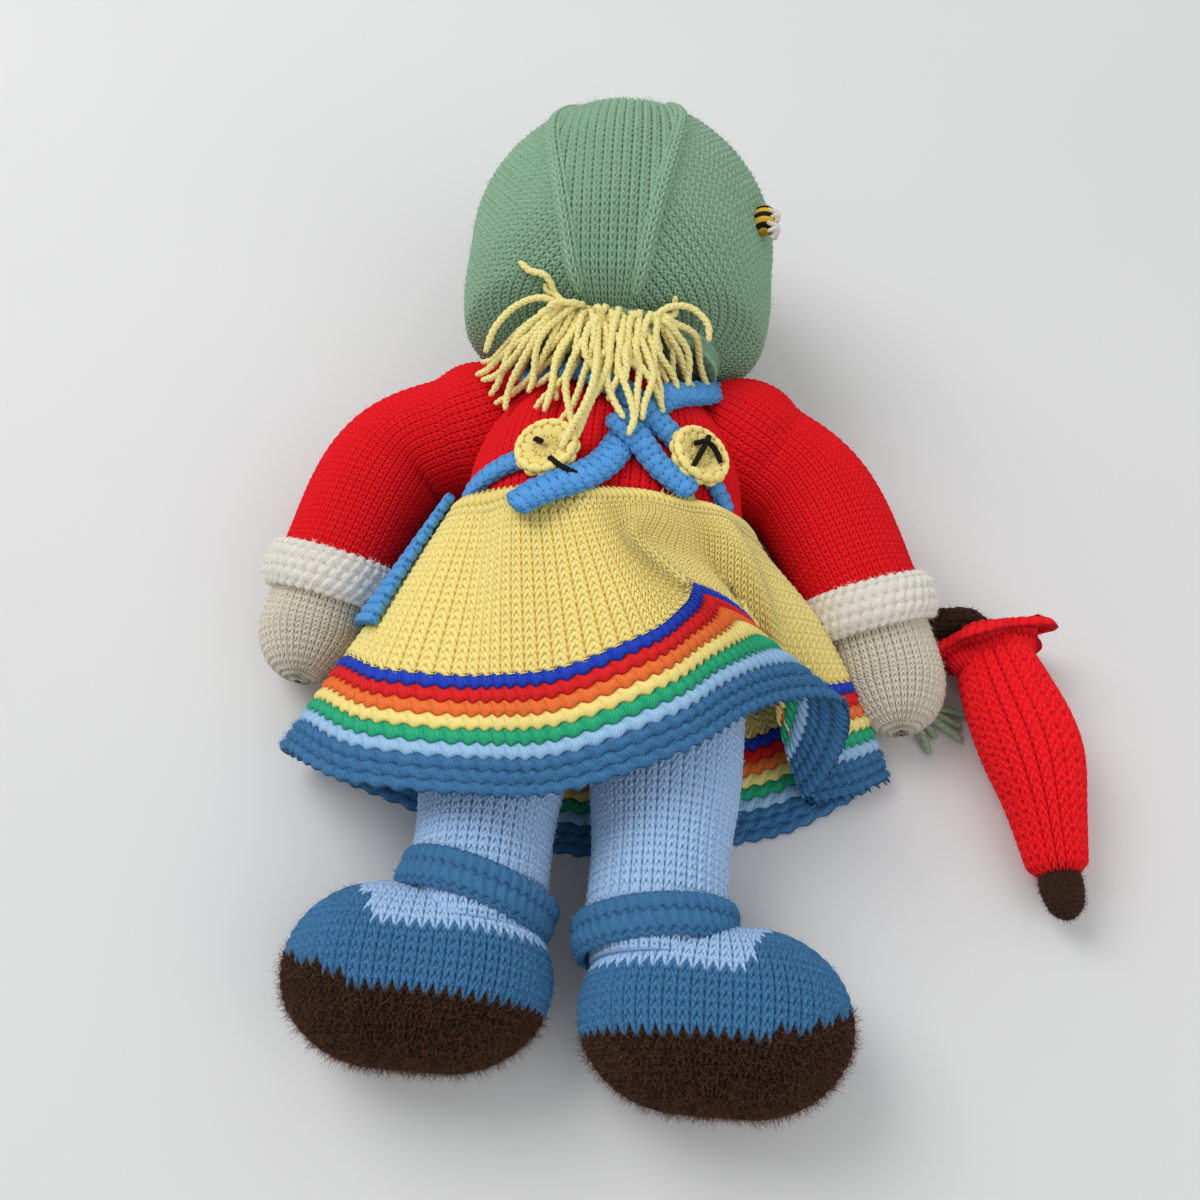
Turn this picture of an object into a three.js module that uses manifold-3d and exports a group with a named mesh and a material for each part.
// A knitted scarecrow doll in a hat, a red jumper, a striped skirt and a blue apron, with a
// furled umbrella sewn to one hand. It lies on its front, as it is put down on a table.
// X runs across the doll, Y from its shoes to its hat, and Z up through its back. Millimetres.
import * as THREE from 'three';
import { mergeVertices } from 'three/addons/utils/BufferGeometryUtils.js';
import Module from 'manifold-3d';

const wasm = await Module();
wasm.setup();

// Cloth and joins
const seam = 0.3; // gap between two pieces that are sewn or laid together
const knit = 2.4; // one layer of knitted cloth
const crochet = 3.2; // the thicker crocheted blue cloth
const pressed = 0.5; // how deep the table flattens a stuffed piece
const dent = 0.5; // how deep a strap or a button sinks into the stuffing

// Stuffed body
const bodyMiddle = 38.5; // height of the body's middle above the table
const waistWide = 92;
const waistDeep = 71;
const chestWide = 95;
const chestDeep = 72;
const shoulderWide = 84;
const shoulderDeep = 66;
const neckWide = 38;
const neckDeep = 40;
const neckAt = 69; // how far up the body the neck ends
const bodyStart = -15;
const hipFoldAt = 20; // where the fold at the hips meets the table
const hipFoldSlope = 0.3; // how far the fold leans towards the shoes per unit of height
const seatMiddle = 41;
const seatWide = 90;
const seatDeep = 67;
const seatEndWide = 84;
const seatEndDeep = 54;
const seatAt = -37; // the lower end of the seat, where the legs are sewn on

// Head and hat
const headAcross = -1.5;
const headAt = 117; // how far up the doll the middle of the head lies
const headWide = 106;
const headLong = 110;
const headDeep = 102;
const headOver = 3; // how far the front of the head lies off the table
const headMiddle = headDeep / 2 + headOver;
const hatWall = 3.4;
const hatNape = 66; // where the hat is drawn in at the nape
const hatOver = 3; // how far the hat's top lies beyond the top of the head
const hatLoose = 9.5; // how much wider and deeper the hat is than the head
const hatTop = headAt + headLong / 2 + hatOver;
const hatWide = headWide + hatLoose;
const hatDeep = headDeep + hatLoose;
const hatMouthWide = 98;
const hatMouthDeep = 62;
const hatDome = 58; // how long the hat's rounded top is
const hatRidge = 1.8; // how far its two back seams stand out
const hatRidgeWide = 3.6;
const hatRidgeTop = 25; // how far the seams lie from the middle, in degrees about the hat
const hatRidgeNape = 11;
const hatPuff = 2; // how far the side panels puff out beside the seams
const brimHeight = 21; // height of the brim beside the face
const brimCorner = 18;
const brimWide = 9;
const brimStands = 1.2; // how far the garter-stitch brim stands out from the hat
const noseSize = 10;
const eyeSize = 6.5;
const eyeApart = 32;
const eyesAbove = 10; // how far the eyes lie above the nose
const beeLong = 12;
const beeWide = 9;
const beeWing = 8;
const beeAt = 113; // how far up the doll the bee sits on the hat
const beeTurn = 60; // how far round the hat from its back, in degrees
const beeSink = 2.8; // how far it sinks into the knitting

// Hair
const hairLocks = 13;
const hairLength = 52;
const hairLock = 5; // width of one lock
const hairRootWide = 24;
const hairLeanLeft = 66; // how far the outer locks lean, in degrees
const hairLeanRight = 52;
const fringeLocks = 8;
const fringeLength = 17;
const fringeLock = 10; // width of one lock of the fringe
const fringeAbove = 42; // how far above the middle of the face the fringe is rooted

// Arms
const shoulderAcross = 47;
const shoulderAt = 49;
const shoulderMiddle = 33;
const shoulderBall = 49; // width of the round shoulder
const sleeveWide = 45;
const sleeveDeep = 42;
const sleeveEndWide = 39;
const sleeveEndDeep = 34;
const armLimit = 48.4; // the arms stay outside this distance from the middle of the body
const cuffWide = 47;
const cuffDeep = 41;
const cuffLong = 15;
const handWide = 36;
const handDeep = 33;
const handDome = 20;

// Legs and shoes
const legWide = 48;
const legDeep = 43;
const ankleWide = 42.4;
const legAcross = 27.5;
const hipAt = -40; // the middle of the round top of each leg
const hipMiddle = 29;
const ankleMiddle = 25;
const ankleStraight = 20; // how much of each leg above the ankle is straight
const hipRoom = 0.85; // room round the top of each leg, for it to swing in
const ankleStrap = 3; // thickness of the ankle strap
const ankleStrapWide = 14;
const ankleStrapLean = 8; // degrees
const shoeLong = 79;
const shoeTall = 51;
const shoeWide = 51;
const shoeBelow = 28; // from the ankle line to the middle of the shoe
const soleThick = 16;
const instepReach = 35; // how far the light blue instep reaches from the leg's middle
const instepTall = 9;

// Skirt, with its bands measured along the cloth from the hem
const skirtGap = 1; // how loosely the skirt's waist fits
const waistbandWide = 5;
const stripeWide = 4.2;
const denimWide = 10.3;
const bandGap = 0.4; // between two of the bands
const backSag = 2.2; // how late the cloth falls from the waist; 1 is a straight fall
const frontDrop = 2.2; // how soon the front drops to lie on the table
const gathers = 9;
const gatherDeep = 1.8;
const apronLong = 52;
const apronLoose = 0.7; // how loosely the apron lies on the skirt
const bibWide = 54;
const bibLong = 32;

// Straps and buttons
const strapWide = 9;
const bandWide = 7;
const buttonSize = 20;
const buttonThick = 4.2;
const buttonRim = 4;
const buttonHollow = 1; // how deep the middle of a button lies below its rim

// Umbrella
const canopyWide = 32;
const canopyNeck = 22;
const canopyEnd = 17;
const canopyMiddle = 15;
const frillWide = 39;
const frillLong = 13;
const frillRuffles = 6;
const frillRuffle = 3;
const frillFlat = 0.74; // how far the frill is pressed flat
const frillFrom = 121; // the frill stays outside this distance, clear of the hand
const handleThick = 11;
const stickThick = 6;
const tipWide = 15;
const tipLong = 17;
const tuftStrands = 5;
const tuftStrand = 3.2;
const tuftLength = 20;

// Colours
const colours = {
  red: '#d8121a', lightBlue: '#8fb9e8', denim: '#41719f', brown: '#2c1c16', cream: '#e8e2d2',
  skin: '#ddd3bd', sage: '#76a585', yellow: '#f0d877', cornflower: '#4f94d8', royal: '#1d3fc0',
  orange: '#f4702c', green: '#18a06c', sky: '#8ec0e6', black: '#1a1512', straw: '#f1e6a0',
  nose: '#e39b8d',
};

const rise = new THREE.Vector3(0, 0, 1);
const radians = THREE.MathUtils.degToRad;
const half = (size) => size / 2;
const vector = (x, y, z) => new THREE.Vector3(x, y, z);
const curve = (points) => new THREE.CatmullRomCurve3(points.map((p) => vector(...p)));

// Solids

// Turns a closed geometry into a solid that can be joined and cut.
function solid(geometry) {
  const bare = geometry.clone();
  bare.deleteAttribute('normal');
  bare.deleteAttribute('uv');
  const merged = mergeVertices(bare, 1e-4);
  return new wasm.Manifold(new wasm.Mesh({
    numProp: 3,
    vertProperties: new Float32Array(merged.attributes.position.array),
    triVerts: new Uint32Array(merged.index.array),
  }));
}

// Turns a solid back into a geometry that a mesh can show.
function geometryOf(body) {
  const mesh = body.getMesh();
  const geometry = new THREE.BufferGeometry();
  geometry.setAttribute('position', new THREE.BufferAttribute(new Float32Array(mesh.vertProperties), 3));
  geometry.setIndex(new THREE.BufferAttribute(new Uint32Array(mesh.triVerts), 1));
  geometry.computeVertexNormals();
  return geometry;
}

const join = (...bodies) => bodies.reduce((whole, body) => whole.add(body));
const cut = (body, ...tools) => tools.reduce((rest, tool) => rest.subtract(tool), body);

// An axis-aligned block between two corners.
function block([x0, y0, z0], [x1, y1, z1]) {
  const box = new THREE.BoxGeometry(x1 - x0, y1 - y0, z1 - z0);
  box.translate(half(x0 + x1), half(y0 + y1), half(z0 + z1));
  return solid(box);
}

// Everything below the table top, which flattens what is pressed on it.
const table = block([-400, -400, -60], [400, 400, 0]);

// A smooth value along a piece, through evenly spaced stations.
function through(...values) {
  return (u) => {
    const place = THREE.MathUtils.clamp(u, 0, 1) * (values.length - 1);
    const i = Math.min(Math.floor(place), values.length - 2);
    const t = place - i;
    const [b, c] = [values[i], values[i + 1]];
    const a = values[i - 1] ?? 2 * b - c;
    const d = values[i + 2] ?? 2 * c - b;
    const bend = (2 * a - 5 * b + 4 * c - d) * t * t + (3 * b - a - 3 * c + d) * t * t * t;
    return b + half((c - a) * t + bend);
  };
}

const halfThrough = (...sizes) => through(...sizes.map(half));

// Closes a stack of equal rings of points into a geometry, with a point at each end.
function stackRings(first, rings, last) {
  const sides = rings[0].length;
  const points = [first, ...rings.flat(), last];
  const faces = [];
  const at = (ring, side) => 1 + ring * sides + (side % sides);
  for (let side = 0; side < sides; side++) {
    faces.push(0, at(0, side), at(0, side + 1));
    for (let ring = 0; ring + 1 < rings.length; ring++) {
      faces.push(at(ring, side), at(ring + 1, side), at(ring, side + 1));
      faces.push(at(ring + 1, side), at(ring + 1, side + 1), at(ring, side + 1));
    }
    faces.push(points.length - 1, at(rings.length - 1, side + 1), at(rings.length - 1, side));
  }
  const geometry = new THREE.BufferGeometry().setFromPoints(points);
  geometry.setIndex(faces);
  return geometry;
}

// The angles of a section's corners where they are evenly spaced.
const evenTurns = (sides) => () => Array.from({ length: sides }, (_, i) => (2 * Math.PI * i) / sides);

// A stuffed tube along a path. Its half sizes are wide(u) across and deep(u) along the way it
// faces, its ends are domed over the given lengths, and grow makes it larger all round.
function stuffedTube({
  path, wide, deep = wide, rings = 6, sides = 16, startDome = 0, endDome = 0, domeRings = 3,
  grow = 0, facing = () => rise, square = 2, relief = () => 0, turns = evenTurns(sides),
}) {
  const length = path.getLength();
  const stops = [];
  for (let i = 1; i <= domeRings && startDome > 0; i++) {
    const turn = (i / domeRings) * half(Math.PI);
    stops.push([(startDome + grow) * (1 - Math.cos(turn)) - grow, Math.sin(turn)]);
  }
  if (startDome === 0) stops.push([-grow, 1]);
  for (let i = 1; i < rings; i++) {
    stops.push([startDome + ((length - startDome - endDome) * i) / rings, 1]);
  }
  if (endDome === 0) stops.push([length + grow, 1]);
  for (let i = domeRings; i >= 1 && endDome > 0; i--) {
    const turn = (i / domeRings) * half(Math.PI);
    stops.push([length + grow - (endDome + grow) * (1 - Math.cos(turn)), Math.sin(turn)]);
  }
  const place = (distance) => {
    const u = THREE.MathUtils.clamp(distance / length, 0, 1);
    const along = path.getTangentAt(u);
    const middle = path.getPointAt(u).addScaledVector(along, distance - u * length);
    return { u, along, middle };
  };
  const soften = (value) => Math.sign(value) * Math.abs(value) ** (2 / square);
  const rows = stops.map(([distance, full]) => {
    const { u, along, middle } = place(distance);
    const side = along.clone().cross(facing(u)).normalize();
    const lift = side.clone().cross(along).normalize();
    return turns(u).map((turn) => {
      const more = grow + relief(u, turn);
      return middle.clone()
        .addScaledVector(side, (wide(u) + more) * full * soften(Math.cos(turn)))
        .addScaledVector(lift, (deep(u) + more) * full * soften(Math.sin(turn)));
    });
  });
  return solid(stackRings(place(-grow).middle, rows, place(length + grow).middle));
}

// A straight round bar from one point to another.
function bar(from, to, radius, sides = 18) {
  return stuffedTube({ path: new THREE.LineCurve3(from, to), wide: () => radius, rings: 1, sides });
}

// A ball squeezed to three sizes, with its poles along Y.
function ball({ at, wide, long, deep, sides = 12, rings = 7, grow = 0 }) {
  const geometry = new THREE.SphereGeometry(1, sides, rings);
  geometry.scale(half(wide) + grow, half(long) + grow, half(deep) + grow);
  geometry.translate(...at);
  return solid(geometry);
}

// A layer of cloth on the surface at(s, t). It lies from inner to outer off that surface, and
// closes round on itself where s runs through a whole turn.
function layer({ at, around, down, sRange = [0, 1], inner, outer }) {
  const closed = sRange[1] - sRange[0] === 1;
  const small = 1e-3;
  const grid = (offset) => Array.from({ length: down + 1 }, (_, i) => (
    Array.from({ length: closed ? around : around + 1 }, (__, j) => {
      const s = sRange[0] + ((sRange[1] - sRange[0]) * j) / around;
      const t = i / down;
      const alongS = at(s + small, t).sub(at(s - small, t));
      const alongT = at(s, Math.min(t + small, 1)).sub(at(s, Math.max(t - small, 0)));
      const out = alongS.cross(alongT).normalize();
      return at(s, t).addScaledVector(out, offset);
    })
  ));
  const sheets = [grid(outer), grid(inner)];
  const columns = sheets[0][0].length;
  const index = (sheet, i, j) => (sheet * (down + 1) + i) * columns + (j % columns);
  const faces = [];
  const quad = (a, b, c, d) => faces.push(a, b, c, a, c, d);
  for (let j = 0; j < around; j++) {
    for (let i = 0; i < down; i++) {
      quad(index(0, i, j), index(0, i, j + 1), index(0, i + 1, j + 1), index(0, i + 1, j));
      quad(index(1, i, j), index(1, i + 1, j), index(1, i + 1, j + 1), index(1, i, j + 1));
    }
    quad(index(0, 0, j), index(1, 0, j), index(1, 0, j + 1), index(0, 0, j + 1));
    quad(index(0, down, j), index(0, down, j + 1), index(1, down, j + 1), index(1, down, j));
  }
  for (let i = 0; i < down && !closed; i++) {
    quad(index(0, i, 0), index(0, i + 1, 0), index(1, i + 1, 0), index(1, i, 0));
    quad(index(0, i + 1, around), index(0, i, around), index(1, i, around), index(1, i + 1, around));
  }
  const geometry = new THREE.BufferGeometry().setFromPoints(sheets.flat(2));
  geometry.setIndex(faces);
  return solid(geometry);
}

// A flat outline of [y, z] corners, carried right across the doll. A corner may be an arc,
// written as [y, z, y of its control point, z of its control point].
function acrossDoll(corners, halfWidth = 200) {
  const shape = new THREE.Shape();
  const [start, ...others] = corners;
  shape.moveTo(...start);
  others.forEach(([y, z, bendY, bendZ]) => (
    bendY === undefined ? shape.lineTo(y, z) : shape.quadraticCurveTo(bendY, bendZ, y, z)
  ));
  const geometry = new THREE.ExtrudeGeometry(
    shape,
    { depth: 2 * halfWidth, bevelEnabled: false, curveSegments: 4 },
  );
  const turn = new THREE.Matrix4().makeBasis(vector(0, 1, 0), vector(0, 0, 1), vector(1, 0, 0));
  return solid(geometry.applyMatrix4(turn).translate(-halfWidth, 0, 0));
}

// The fold at the hips: a slanting plane, with the body on one side and the skirt on the other

const foldY = (z) => hipFoldAt - hipFoldSlope * z;
const foldLine = (gap) => [[foldY(-100) + gap, -100], [foldY(200) + gap, 200]];
const aboveFold = (gap) => acrossDoll([[300, 200], [300, -100], ...foldLine(gap)].toReversed());
const belowFold = (gap) => acrossDoll([...foldLine(gap), [-300, 200], [-300, -100]]);

// Body

const bodyWide = halfThrough(waistWide, chestWide, shoulderWide, neckWide);
const bodyDeep = halfThrough(waistDeep, chestDeep, shoulderDeep, neckDeep);
const neckLift = 4; // how far the neck lies above the middle of the body

const bodyTube = (grow) => stuffedTube({
  path: curve([[0, bodyStart, bodyMiddle], [0, 27, bodyMiddle], [0, neckAt, bodyMiddle + neckLift]]),
  wide: bodyWide,
  deep: bodyDeep,
  rings: 7,
  sides: 22,
  endDome: 6,
  grow,
});

const headBall = (grow) => ball({
  at: [headAcross, headAt, headMiddle],
  wide: headWide,
  long: headLong,
  deep: headDeep,
  sides: 22,
  rings: 13,
  grow,
});

const shoulder = (side, grow) => ball({
  at: [side * shoulderAcross, shoulderAt, shoulderMiddle],
  wide: shoulderBall,
  long: shoulderBall,
  deep: shoulderBall,
  sides: 20,
  rings: 12,
  grow,
});

const torso = cut(
  bodyTube(0).intersect(aboveFold(half(seam))),
  headBall(seam),
  shoulder(-1, 2 * seam),
  shoulder(1, 2 * seam),
);

const bodyRoom = join(bodyTube(seam), shoulder(-1, 2 * seam), shoulder(1, 2 * seam));

// Arms, each bent in its own way on the table

const arms = {
  left: { side: -1, bend: [-77, 36, 27], wrist: [-94, -12, 23], palm: [-98, -31, 16], tip: [-99.5, -49, 15] },
  right: { side: 1, bend: [71, 34, 28], wrist: [94, -10, 24], palm: [102, -32, 16], tip: [105, -52, 16] },
};

function makeArm({ side, bend, wrist, palm, tip }, held) {
  const root = [side * shoulderAcross, shoulderAt, shoulderMiddle];
  const sleeveTube = (grow) => stuffedTube({
    path: curve([root, bend, wrist]),
    wide: halfThrough(sleeveWide, sleeveWide, sleeveEndWide),
    deep: halfThrough(sleeveDeep, sleeveDeep, sleeveEndDeep),
    rings: 6,
    sides: 16,
    grow,
  });
  const handPath = curve([wrist, palm, tip]);
  const handTube = (grow) => stuffedTube({
    path: handPath,
    wide: halfThrough(sleeveEndWide - 5, handWide, handWide - 2),
    deep: halfThrough(sleeveEndDeep - 5, handDeep, handDeep - 5),
    rings: 3,
    sides: 14,
    endDome: handDome,
    grow,
  });
  const end = vector(...wrist);
  const along = handPath.getTangentAt(0);
  const beside = (distance) => end.clone().addScaledVector(along, distance);
  const cuffBarrel = (grow) => stuffedTube({
    path: new THREE.LineCurve3(beside(-half(cuffLong)), beside(half(cuffLong))),
    wide: halfThrough(cuffWide - 4, cuffWide, cuffWide, cuffWide - 4),
    deep: halfThrough(cuffDeep - 4, cuffDeep, cuffDeep, cuffDeep - 4),
    rings: 3,
    sides: 16,
    grow,
  });
  const bodySide = block(
    [side < 0 ? -armLimit : -200, -200, -100],
    [side < 0 ? 200 : armLimit, 200, 200],
  );
  const pastWrist = bar(beside(-seam), beside(90), 60, 8);
  return {
    sleeve: cut(join(cut(sleeveTube(0), bodySide), shoulder(side, 0)), pastWrist),
    hand: cut(handTube(0), table, ...held),
    cuff: cut(cuffBarrel(0), sleeveTube(seam), handTube(seam), table, ...held),
    room: join(handTube(seam), cuffBarrel(seam)),
  };
}

const leftArm = makeArm(arms.left, []);

// Seat and legs. The heel is how far the back of the shoe lies from the middle of the ankle.

const legs = {
  left: { side: -1, ankle: -118, heel: 25.5 },
  right: { side: 1, ankle: -123, heel: 21 },
};

const legTop = (side, grow) => ball({
  at: [side * legAcross, hipAt, hipMiddle],
  wide: legWide,
  long: legWide,
  deep: legDeep,
  sides: 18,
  rings: 10,
  grow,
});

function makeLeg({ side, ankle }) {
  const across = side * legAcross;
  const knee = THREE.MathUtils.lerp(hipAt, ankle, 0.4);
  const tube = stuffedTube({
    path: curve([
      [across, hipAt, hipMiddle],
      [across, knee, ankleMiddle + 1.5],
      [across, ankle + ankleStraight, ankleMiddle],
      [across, ankle, ankleMiddle],
    ]),
    wide: halfThrough(legWide - 0.4, legWide, legWide - 1, ankleWide, ankleWide),
    deep: halfThrough(legDeep - 0.4, legDeep, legDeep, ankleWide, ankleWide),
    rings: 5,
    sides: 18,
  });
  return join(tube, legTop(side, 0));
}

const seat = cut(
  stuffedTube({
    path: curve([[0, 30, seatMiddle], [0, 0, seatMiddle], [0, seatAt, seatMiddle]]),
    wide: halfThrough(seatWide, seatWide, seatEndWide),
    deep: halfThrough(seatDeep, seatDeep, seatEndDeep),
    rings: 4,
    sides: 20,
    endDome: 10,
  }),
  aboveFold(-half(seam)),
  legTop(-1, hipRoom),
  legTop(1, hipRoom),
);

// Shoes: each is one stuffed foot, knitted in colours, with a strap round its ankle

function makeFoot({ side, ankle, heel }) {
  const across = side * legAcross;
  const middle = vector(across + side * (half(shoeLong) - heel), ankle - shoeBelow, ankleMiddle);
  const loaf = stuffedTube({
    path: new THREE.LineCurve3(
      middle.clone().add(vector(-half(shoeLong), 0, 0)),
      middle.clone().add(vector(half(shoeLong), 0, 0)),
    ),
    wide: () => half(shoeTall),
    deep: () => half(shoeWide),
    rings: 3,
    sides: 20,
    startDome: 30,
    endDome: 30,
    square: 2.3,
  });
  const ankleBar = (radius, from, to) => bar(
    vector(across, ankle + from, ankleMiddle),
    vector(across, ankle + to, ankleMiddle),
    radius,
  );
  const lean = radians(ankleStrapLean) * side;
  const strapAlong = vector(-Math.sin(lean), Math.cos(lean), 0);
  const strapMiddle = vector(across, ankle + 2, ankleMiddle);
  const strapOuter = half(ankleWide) + 2 * seam + ankleStrap;
  const strapBand = (grow) => stuffedTube({
    path: new THREE.LineCurve3(
      strapMiddle.clone().addScaledVector(strapAlong, -half(ankleStrapWide)),
      strapMiddle.clone().addScaledVector(strapAlong, half(ankleStrapWide)),
    ),
    wide: through(strapOuter - 0.8, strapOuter, strapOuter - 0.8),
    rings: 2,
    sides: 20,
    grow,
  });
  const sockLow = instepTall - shoeBelow;
  const sockRoom = join(
    ankleBar(instepReach + seam, sockLow - seam, 40),
    ankleBar(half(ankleWide) + seam, -shoeBelow - seam, 40),
  );
  const topOfSole = middle.y - half(shoeTall) + soleThick;
  const below = (y) => block([-200, -400, -100], [200, y, 200]);
  const sock = join(
    cut(loaf, strapBand(seam)).intersect(ankleBar(instepReach, sockLow, 40)),
    ankleBar(half(ankleWide), -shoeBelow, -seam),
  );
  return {
    strap: cut(strapBand(0), ankleBar(half(ankleWide) + 2 * seam, -40, 40), table),
    sock: cut(sock, table),
    upper: cut(loaf, below(topOfSole + seam), strapBand(seam), sockRoom, table),
    sole: cut(loaf.intersect(below(topOfSole)), table),
  };
}

const leftFoot = makeFoot(legs.left);
const rightFoot = makeFoot(legs.right);

// Skirt. Each station ties an angle about the waist, in degrees from the right side over the
// back, to the point where the hem lies below it.

const skirtStations = [
  [12, 90, -71, 7],
  [26, 75, -75, 7],
  [38, 80, -70, 19],
  [50, 84, -61, 33],
  [60, 79, -57, 47],
  [72, 63, -62, 56],
  [84, 49, -70, 59],
  [96, 32, -83, 60],
  [114, -3, -99, 60],
  [132, -30, -101, 58],
  [152, -70, -94, 43],
  [170, -94, -79, 26],
  [188, -98, -74, 10],
  [206, -80, -79, 1.6],
  [236, -40, -91, 1.6],
  [270, 2, -98, 1.6],
  [302, 36, -93, 1.6],
  [330, 70, -84, 1.6],
  [352, 101, -64, 4.4],
];

const waistHalfWide = half(waistWide) + skirtGap + knit;
const waistBottom = crochet + seam + knit - pressed;
const waistTop = bodyMiddle + half(waistDeep) + skirtGap + knit;
const waistMiddle = half(waistTop + waistBottom);
const waistHalfDeep = half(waistTop - waistBottom);

// The station between two others, smoothly, going once round the skirt as s goes from 0 to 1.
function skirtStation(s) {
  const count = skirtStations.length;
  const place = (s - Math.floor(s)) * count;
  const i = Math.floor(place);
  const t = place - i;
  const pick = (k) => {
    const [angle, ...hem] = skirtStations[(k + count) % count];
    return [angle + 360 * Math.floor(k / count), ...hem];
  };
  const [a, b, c, d] = [pick(i - 1), pick(i), pick(i + 1), pick(i + 2)];
  return b.map((value, k) => through(a[k], value, c[k], d[k])((1 + t) / 3));
}

// The middle of the skirt's cloth: t runs from the waist to the hem.
function skirtPoint(s, t) {
  const [angle, x, y, z] = skirtStation(s);
  const turn = radians(angle);
  const waistZ = waistMiddle + waistHalfDeep * Math.sin(turn);
  const waist = vector(waistHalfWide * Math.cos(turn), foldY(waistZ) - 2 * seam, waistZ);
  const point = waist.lerp(vector(x, y, z), t);
  const toBack = THREE.MathUtils.smoothstep(Math.sin(turn), -0.7, 0.7);
  const fallen = THREE.MathUtils.lerp(1 - (1 - t) ** frontDrop, t ** backSag, toBack);
  point.z = waistZ + (z - waistZ) * fallen;
  const onBack = Math.max(0, Math.sin(turn));
  const gather = gatherDeep * Math.sin(Math.PI * t) * onBack * Math.cos(gathers * turn);
  return point.add(vector(Math.cos(turn) * gather, 0, Math.sin(turn) * gather));
}

const skirtLength = (s) => skirtPoint(s, 0).distanceTo(skirtPoint(s, 1));
const belowWaist = (length) => (s) => length / skirtLength(s);
const aboveHem = (length) => (s) => 1 - length / skirtLength(s);

// The part of the skirt's surface between two lines round it.
const skirtBetween = (from, to) => (s, t) => skirtPoint(s, THREE.MathUtils.lerp(from(s), to(s), t));

const skirtAround = 2 * skirtStations.length;
const skirtLayer = (from, to, down, thicker = 0) => layer({
  at: skirtBetween(from, to),
  around: skirtAround,
  down,
  inner: -half(knit),
  outer: half(knit) + thicker,
});

const waistbandThicker = 0.4;
const bandsWide = 6 * stripeWide + denimWide;
const skirtWaistband = skirtLayer(belowWaist(0), belowWaist(waistbandWide), 1, waistbandThicker);
const skirtPanel = skirtLayer(belowWaist(waistbandWide + seam), aboveHem(bandsWide), 5);

const hemBands = ['royal', 'red', 'orange', 'yellow', 'green', 'sky', 'denim'].map((colour, i) => {
  const top = bandsWide - i * stripeWide;
  const bottom = colour === 'denim' ? 0 : top - stripeWide;
  return { colour, body: cut(skirtLayer(aboveHem(top - bandGap), aboveHem(bottom), 1), table) };
});

// Apron: a bib on the chest, and a panel that hangs over the front of the skirt

const bib = cut(
  bodyTube(seam + crochet).intersect(
    block([-half(bibWide), -100, -20], [half(bibWide), hipFoldAt + bibLong, 20]),
  ),
  bodyRoom,
  belowFold(half(seam)),
  table,
);

// The apron's panel shares the skirt's columns, so that the two lie evenly on each other.
const apronFrom = 21;
const apronTo = 35;
const apronGap = half(knit) + waistbandThicker + apronLoose;
const apronPanel = cut(
  layer({
    at: skirtBetween(belowWaist(0), belowWaist(apronLong)),
    around: apronTo - apronFrom,
    down: 4,
    sRange: [apronFrom / skirtAround, apronTo / skirtAround],
    inner: apronGap,
    outer: apronGap + crochet,
  }),
  aboveFold(-half(seam)),
  table,
);

// Straps, bands and buttons. Each strap is a ribbon laid on the curve of the back.

function backHeight(x, y) {
  const u = (y - bodyStart) / (neckAt - bodyStart);
  const across = Math.min(0.98, Math.abs(x) / bodyWide(u));
  return bodyMiddle + neckLift * Math.max(0, 2 * u - 1) + bodyDeep(u) * Math.sqrt(1 - across ** 2);
}

function backNormal(x, y) {
  const small = 0.5;
  const slopeX = backHeight(x + small, y) - backHeight(x - small, y);
  const slopeY = backHeight(x, y + small) - backHeight(x, y - small);
  return vector(-slopeX, -slopeY, 2 * small).normalize();
}

const onBack = (x, y, raised) => vector(x, y, backHeight(x, y)).addScaledVector(backNormal(x, y), raised);

// A crocheted ribbon through places on the back, each [x, y, how far it is raised].
const backRibbon = (places, width) => (grow) => {
  const lift = seam + half(crochet) - dent;
  const path = new THREE.CatmullRomCurve3(places.map(([x, y, raised]) => onBack(x, y, raised + lift)));
  return stuffedTube({
    path,
    wide: () => half(width),
    deep: () => half(crochet),
    rings: 7,
    sides: 8,
    startDome: 1.5,
    endDome: 2.5,
    domeRings: 2,
    square: 4,
    facing: (u) => backNormal(path.getPointAt(u).x, path.getPointAt(u).y),
    grow,
  });
};

const overStrap = crochet + seam;
const ribbonRight = backRibbon([
  [-21, -13, 9.5], [-20, -4, 7.5], [-16, 6, 3], [-8, 15, 0], [3, 25, 0], [14, 36, 0], [26, 49, 0], [41, 63, 0],
], strapWide);
const ribbonLeft = backRibbon([
  [30, 8, 0], [22, 21, 0], [11, 33, overStrap], [0, 43, overStrap], [-13, 51, 0.5], [-27, 58, 0], [-38, 64, 0],
], strapWide);
const ribbonTail = backRibbon([[6, 16, 0], [15, 8, 0], [26, -1, 0]], strapWide - 1);
const ribbonBandLeft = backRibbon([[-22, 9, 0], [-32, 10, 0], [-43, 13, 0]], bandWide);
const ribbonBandRight = backRibbon([[33, 9, 0], [38, 9, 0], [42, 11, 0]], bandWide);

const ribbonCut = (ribbon, ...over) => cut(
  ribbon(0),
  ...over.map((other) => other(seam)),
  bodyRoom,
  headBall(2 * seam),
);
const strapRight = ribbonCut(ribbonRight);
const strapLeft = ribbonCut(ribbonLeft, ribbonRight);
const strapTail = cut(ribbonCut(ribbonTail, ribbonRight, ribbonLeft), belowFold(seam));
const bandLeft = cut(ribbonCut(ribbonBandLeft, ribbonRight), belowFold(seam));
const bandRight = cut(ribbonCut(ribbonBandRight, ribbonLeft), belowFold(seam));

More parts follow.
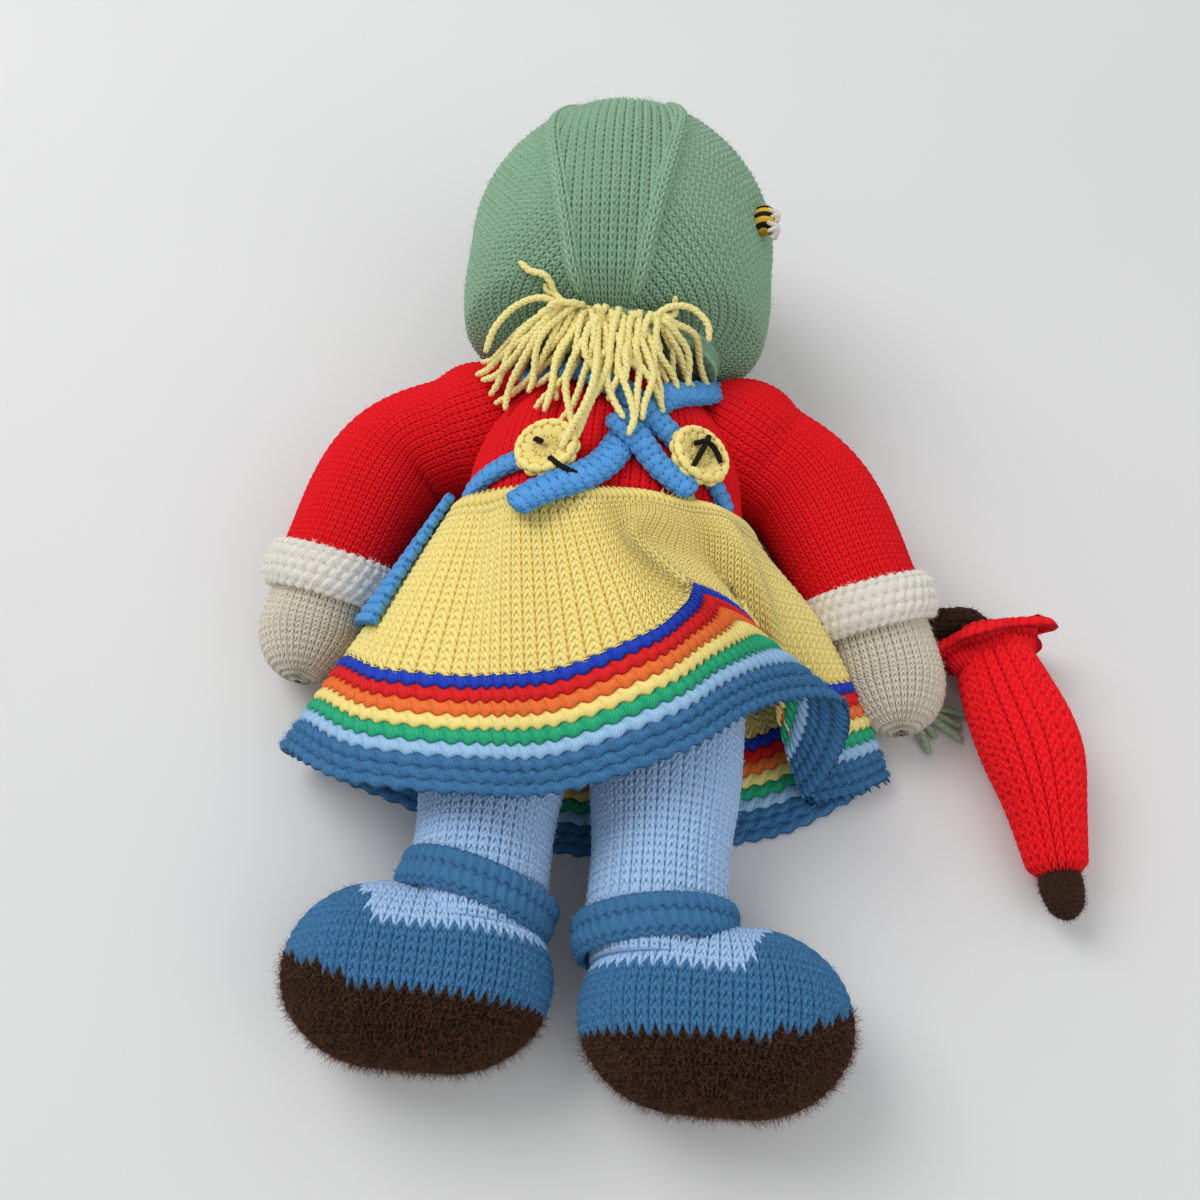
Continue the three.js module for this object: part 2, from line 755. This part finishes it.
// A crocheted button: a disc with a raised rim, laid along the back's slope.
const button = (x, y) => (grow) => {
  const radius = half(buttonSize) + grow;
  const floor = buttonThick - buttonHollow + grow;
  const outline = [
    [0, -grow], [radius - 1, -grow], [radius, half(buttonThick)], [radius - 1, buttonThick + grow],
    [radius - buttonRim, buttonThick + grow], [radius - buttonRim - 1, floor], [0, floor],
  ];
  const geometry = new THREE.LatheGeometry(outline.map(([r, y]) => new THREE.Vector2(r, y)), 14);
  geometry.applyQuaternion(new THREE.Quaternion().setFromUnitVectors(vector(0, 1, 0), backNormal(x, y)));
  return solid(geometry.translate(...onBack(x, y, seam + crochet - dent).toArray()));
};

const leftButton = button(-17.5, 9.5);
const rightButton = button(27.5, 12.5);
const ribbons = [ribbonRight, ribbonLeft, ribbonTail, ribbonBandLeft, ribbonBandRight];
const buttonLeft = cut(leftButton(0), ...ribbons.map((ribbon) => ribbon(seam)), bodyRoom);
const buttonRight = cut(rightButton(0), ...ribbons.map((ribbon) => ribbon(seam)), bodyRoom);

// Head and hat

const ridgeAngle = (u) => radians(THREE.MathUtils.lerp(hatRidgeNape, hatRidgeTop, Math.min(1, u / 0.7)));

// How far the hat stands out at a place: seams that run from its top to the nape, and panels
// that puff out beside them.
function hatRelief(u, turn) {
  const round = Math.abs(Math.atan2(Math.cos(turn), Math.sin(turn)));
  const beside = ((round - ridgeAngle(u)) * half(hatWide)) / hatRidgeWide;
  const ridge = hatRidge * Math.exp(-(beside ** 2));
  const panel = THREE.MathUtils.clamp((round - ridgeAngle(u)) / (radians(120) - ridgeAngle(u)), 0, 1);
  const fade = Math.sin(Math.PI * Math.min(1, 0.2 + 0.8 * u));
  return (ridge + hatPuff * Math.sin(Math.PI * panel)) * fade;
}

// The corners of the hat's sections follow its seams, with even steps round the side panels.
function hatTurns(u) {
  const ridge = ridgeAngle(u);
  const beside = hatRidgeWide / half(hatWide);
  const steps = 7;
  const sidePanel = Array.from({ length: steps - 1 }, (_, i) => (
    THREE.MathUtils.lerp(ridge + beside, Math.PI, (i + 1) / steps)
  ));
  const rightHalf = [ridge - beside, ridge, ridge + beside, ...sidePanel];
  return [...rightHalf.map((a) => -a).toReversed(), 0, ...rightHalf, Math.PI].map((a) => a + half(Math.PI));
}

const hatForm = (grow, relief) => stuffedTube({
  path: new THREE.LineCurve3(vector(headAcross, hatNape, headMiddle), vector(headAcross, hatTop, headMiddle)),
  wide: halfThrough(hatMouthWide, hatWide - 4, hatWide, hatWide, hatWide),
  deep: halfThrough(hatMouthDeep, hatDeep - 12, hatDeep - 2, hatDeep, hatDeep),
  rings: 4,
  startDome: 12,
  endDome: hatDome,
  turns: hatTurns,
  grow,
  relief,
});

// The room in front of the hat's edge, which runs from the nape down and along beside the face.
function faceRoom(further) {
  const nape = hatNape + 3 + further;
  const low = brimHeight + further;
  return acrossDoll([
    [-100, -100], [300, -100], [300, low], [nape + brimCorner, low],
    [nape, low + brimCorner, nape, low], [nape, 220], [-100, 220],
  ]);
}

// Where the shoulders come to lie beside the head as it turns on the neck.
const shouldersTurned = [-1, 1].flatMap((side) => [5, 10, 15].map((angle) => {
  const place = vector(side * shoulderAcross - headAcross, shoulderAt, shoulderMiddle - headMiddle);
  place.applyAxisAngle(vector(0, 1, 0), radians(side * -angle));
  return ball({
    at: [place.x + headAcross, place.y, place.z + headMiddle],
    wide: shoulderBall,
    long: shoulderBall,
    deep: shoulderBall,
    sides: 16,
    rings: 10,
    grow: 3 * seam,
  });
}));

const hatHollow = join(hatForm(-hatWall, () => 0), headBall(seam));
const hatCrown = cut(hatForm(0, hatRelief), hatHollow, faceRoom(brimWide + seam), bodyRoom);
const hatBrim = cut(
  hatForm(brimStands, hatRelief).intersect(faceRoom(brimWide)),
  hatHollow,
  faceRoom(0),
  bodyRoom,
  ...shouldersTurned,
  ...ribbons.map((ribbon) => ribbon(seam)),
);

const head = headBall(0);

// A place on the face, raised off it by a distance.
function onFace(x, y, raised) {
  const [a, b, c] = [half(headWide), half(headLong), half(headDeep)];
  const [px, py] = [x / a, (y - headAt) / b];
  const pz = -Math.sqrt(1 - px ** 2 - py ** 2);
  const normal = vector(px / a, py / b, pz / c).normalize();
  return vector(headAcross + x, y, headMiddle + pz * c).addScaledVector(normal, raised);
}

const faceBall = (x, y, size, raised) => cut(
  ball({ at: onFace(x, y, raised).toArray(), wide: size, long: size, deep: size, sides: 10, rings: 6 }),
  headBall(seam),
  table,
);
const noseAt = headAt - 4;
const noseRaised = headMiddle - half(headDeep) - half(noseSize) + pressed;
const nose = faceBall(0, noseAt, noseSize, noseRaised);
const eyeLeft = faceBall(-half(eyeApart), noseAt + eyesAbove, eyeSize, -1);
const eyeRight = faceBall(half(eyeApart), noseAt + eyesAbove, eyeSize, -1);

// Hair: locks of yarn that spring from the nape, and a fringe under the brim

const lockTube = (points, thick, sides = 6) => stuffedTube({
  path: curve(points),
  wide: through(half(thick), half(thick), 0.3 * thick),
  rings: 3,
  sides,
});

// The height of the back or of a shoulder, whichever is higher.
function restHeight(x, y) {
  const away = Math.hypot(Math.abs(x) - shoulderAcross, y - shoulderAt);
  const ballHeight = shoulderMiddle + Math.sqrt(Math.max(0, half(shoulderBall) ** 2 - away ** 2));
  return Math.max(backHeight(x, y), ballHeight);
}

// A share between 0 and 1 that varies from one lock to the next.
const uneven = (i) => half(1 + Math.sin(i * 2.4));

function napeHair() {
  const locks = Array.from({ length: hairLocks }, (_, i) => {
    const share = i / (hairLocks - 1);
    const lean = radians(THREE.MathUtils.lerp(-hairLeanLeft, hairLeanRight, share));
    const reach = hairLength * (0.7 + 0.3 * uneven(i)) * (1 - 0.25 * Math.abs(2 * share - 1));
    const rootX = headAcross + THREE.MathUtils.lerp(-half(hairRootWide), half(hairRootWide), share);
    const place = (far, lift) => {
      const x = rootX + Math.sin(lean) * reach * far;
      const y = hatNape - 4 - Math.cos(lean) * reach * far;
      return [x, y, restHeight(x, y) + lift];
    };
    return lockTube([place(0, 11), place(0.35, 13), place(0.7, 9.5), place(1, 7)], hairLock);
  });
  const root = ball({
    at: [headAcross, hatNape - 4, backHeight(0, hatNape - 6) + 11],
    wide: hairRootWide + 8,
    long: 9,
    deep: 9,
    sides: 10,
    rings: 6,
  });
  return join(root, ...locks);
}

const hatRoom = hatForm(brimStands + seam, hatRelief);
const hairBack = cut(
  napeHair(),
  hatRoom,
  headBall(seam),
  bodyRoom,
  ...ribbons.map((ribbon) => ribbon(seam)),
  leftButton(seam),
  rightButton(seam),
);

function faceFringe() {
  const locks = Array.from({ length: fringeLocks }, (_, i) => {
    const x = THREE.MathUtils.lerp(-26, 26, i / (fringeLocks - 1));
    const top = headAt + fringeAbove - 0.25 * Math.abs(x);
    const place = (down, raised) => onFace(x * (1 + 0.1 * down), top - fringeLength * down, raised).toArray();
    return lockTube([place(0, 2.2), place(0.5, 2.8), place(1, 2.4)], fringeLock);
  });
  return join(...locks);
}

const hatOutside = cut(hatRoom, faceRoom(-seam));
const hairFringe = cut(faceFringe(), headBall(seam), table, hatOutside);

// Bee on the right side of the hat

const beeRound = radians(beeTurn);
const beeShare = (beeAt - hatNape) / (hatTop - hatNape);
const beeDome = Math.sqrt(1 - Math.max(0, (beeAt - hatTop + hatDome) / hatDome) ** 2);
const beeOut = hatRelief(beeShare, half(Math.PI) - beeRound) + half(beeWide) - beeSink;
const beeMiddle = vector(
  headAcross + Math.sin(beeRound) * (half(hatWide) * beeDome + beeOut),
  beeAt,
  headMiddle + Math.cos(beeRound) * (half(hatDeep) * beeDome + beeOut),
);
const beeBall = (grow) => ball({
  at: beeMiddle.toArray(), wide: beeWide, long: beeLong, deep: beeWide, sides: 10, rings: 6, grow,
});
const hatSurface = hatForm(seam, hatRelief);
const beeBody = cut(beeBall(0), hatSurface);
const beeWings = [-1, 1].map((side) => cut(
  ball({
    at: [beeMiddle.x, beeMiddle.y + half(side * beeWing), beeMiddle.z + half(beeWide) + 2],
    wide: 3,
    long: 0.8 * beeWing,
    deep: beeWing,
    sides: 8,
    rings: 5,
  }),
  beeBall(seam),
  hatSurface,
));

// Umbrella, lying beside the right hand, with the end of its handle tucked under the cuff

const canopyPath = curve([
  [135.5, -14, canopyMiddle + 1], [141, -32, canopyMiddle], [148.5, -57, canopyMiddle], [154, -96, 12],
]);
const canopyTube = (grow) => stuffedTube({
  path: canopyPath,
  wide: halfThrough(canopyNeck, canopyWide - 2, canopyWide, canopyWide - 8, canopyEnd),
  deep: halfThrough(canopyNeck, canopyWide - 3, canopyWide - 2, canopyWide - 8, canopyEnd),
  rings: 6,
  sides: 14,
  startDome: 3,
  endDome: 5,
  domeRings: 2,
  grow,
});
const canopyStart = canopyPath.getPointAt(0);
const canopyAlong = canopyPath.getTangentAt(0);
const handleTube = (grow) => stuffedTube({
  path: curve([
    [110, -11.8, 19],
    [116, -11.2, 19],
    [122, -10.6, 19],
    [129, -10, 18.6],
    canopyStart.clone().addScaledVector(canopyAlong, 5).toArray(),
  ]),
  wide: () => half(handleThick),
  rings: 6,
  sides: 10,
  startDome: 3,
  endDome: 3,
  domeRings: 2,
  grow,
});
const stick = (grow) => stuffedTube({ path: canopyPath, wide: () => half(stickThick), rings: 6, sides: 8, grow });
const handle = join(handleTube(0), stick(0));
const rightArm = makeArm(arms.right, [handleTube(2 * seam)]);
const canopy = cut(canopyTube(0), stick(seam), handleTube(seam), table);

const canopyLast = canopyPath.getPointAt(1);
const endAlong = canopyPath.getTangentAt(1);
const tipStart = 4; // how far the tip is tucked into the canopy
const tip = cut(
  stuffedTube({
    path: new THREE.LineCurve3(
      canopyLast.clone().addScaledVector(endAlong, -tipStart),
      canopyLast.clone().addScaledVector(endAlong, tipLong - tipStart),
    ),
    wide: halfThrough(tipWide - 3, tipWide, tipWide - 4),
    rings: 2,
    sides: 12,
    startDome: 2,
    endDome: 6,
    domeRings: 2,
  }),
  canopyTube(seam),
  stick(seam),
);

// The ruffled collar of the canopy: a cone of cloth whose free edge waves in and out.
const frillSide = canopyAlong.clone().cross(rise).normalize();
const frillLift = frillSide.clone().cross(canopyAlong).normalize();
function frillPoint(s, t) {
  const turn = 2 * Math.PI * s;
  const wave = t * Math.cos(frillRuffles * turn);
  const radius = THREE.MathUtils.lerp(half(canopyNeck) + 1.8, half(frillWide), t) + frillRuffle * wave;
  const back = frillLong * (0.9 * Math.sin(half(Math.PI) * t) - 0.4) - 1.2 * wave;
  return canopyStart.clone()
    .addScaledVector(canopyAlong, 4 - back)
    .addScaledVector(frillSide, radius * Math.cos(turn))
    .addScaledVector(frillLift, frillFlat * radius * Math.sin(turn));
}
const frillLayer = (grow) => layer({
  at: frillPoint, around: 4 * frillRuffles, down: 2, inner: -half(knit) - grow, outer: half(knit) + grow,
});
const besideHand = block([-200, -200, -100], [frillFrom, -14, 200]);
const frill = cut(
  frillLayer(0),
  canopyTube(seam),
  handleTube(seam),
  rightArm.room,
  besideHand,
  table,
);

// Green yarn ends under the right hand

const tuftRoot = vector(112, -36, 4);
const tuft = cut(
  join(...Array.from({ length: tuftStrands }, (_, i) => {
    const lean = radians(THREE.MathUtils.lerp(-62, 2, i / (tuftStrands - 1)));
    const reach = tuftLength * (0.75 + 0.25 * uneven(i));
    const place = (far, z) => [
      tuftRoot.x + Math.cos(lean) * reach * far, tuftRoot.y + Math.sin(lean) * reach * far, z,
    ];
    return lockTube([place(0, 4), place(0.5, 4), place(1, 2.2)], tuftStrand, 4);
  })),
  rightArm.room,
  canopyTube(1),
);

// Assembly

const doll = new THREE.Group();

function addPiece(name, body, colour, roughness = 0.95) {
  const material = new THREE.MeshStandardMaterial({ color: colours[colour], roughness, metalness: 0 });
  const mesh = new THREE.Mesh(geometryOf(body), material);
  mesh.name = name;
  doll.add(mesh);
}

addPiece('torso', torso, 'red');
addPiece('bib', bib, 'cornflower');
addPiece('strap_right', strapRight, 'cornflower');
addPiece('strap_left', strapLeft, 'cornflower');
addPiece('strap_tail', strapTail, 'cornflower');
addPiece('band_left', bandLeft, 'cornflower');
addPiece('band_right', bandRight, 'cornflower');
addPiece('button_left', buttonLeft, 'yellow');
addPiece('button_right', buttonRight, 'yellow');
addPiece('head', head, 'skin');
addPiece('nose', nose, 'nose');
addPiece('eye_left', eyeLeft, 'black', 0.3);
addPiece('eye_right', eyeRight, 'black', 0.3);
addPiece('hat_crown', hatCrown, 'sage');
addPiece('hat_brim', hatBrim, 'sage');
addPiece('hair_back', hairBack, 'straw');
addPiece('hair_fringe', hairFringe, 'straw');
addPiece('bee_body', beeBody, 'yellow');
addPiece('bee_wing_lower', beeWings[0], 'cream');
addPiece('bee_wing_upper', beeWings[1], 'cream');
[['left', leftArm], ['right', rightArm]].forEach(([side, arm]) => {
  addPiece(`sleeve_${side}`, arm.sleeve, 'red');
  addPiece(`cuff_${side}`, arm.cuff, 'cream');
  addPiece(`hand_${side}`, arm.hand, 'skin');
});
addPiece('seat', seat, 'lightBlue');
addPiece('skirt_waistband', skirtWaistband, 'yellow');
addPiece('skirt_panel', skirtPanel, 'yellow');
hemBands.forEach(({ colour, body }) => addPiece(`hem_${colour}`, body, colour));
addPiece('apron_panel', apronPanel, 'cornflower');
[['left', legs.left, leftFoot], ['right', legs.right, rightFoot]].forEach(([side, leg, foot]) => {
  addPiece(`leg_${side}`, makeLeg(leg), 'lightBlue');
  addPiece(`ankle_strap_${side}`, foot.strap, 'denim');
  addPiece(`instep_${side}`, foot.sock, 'lightBlue');
  addPiece(`shoe_upper_${side}`, foot.upper, 'denim');
  addPiece(`shoe_sole_${side}`, foot.sole, 'brown');
});
addPiece('umbrella_handle', handle, 'brown');
addPiece('umbrella_canopy', canopy, 'red');
addPiece('umbrella_frill', frill, 'red');
addPiece('umbrella_tip', tip, 'brown');
addPiece('yarn_tuft', tuft, 'sage');

// The doll's frame has its origin under the middle of the doll, on the table.
const extent = new THREE.Box3().setFromObject(doll);
const middle = extent.getCenter(vector(0, 0, 0));
doll.position.set(-middle.x, -middle.y, -extent.min.z);

export default doll;
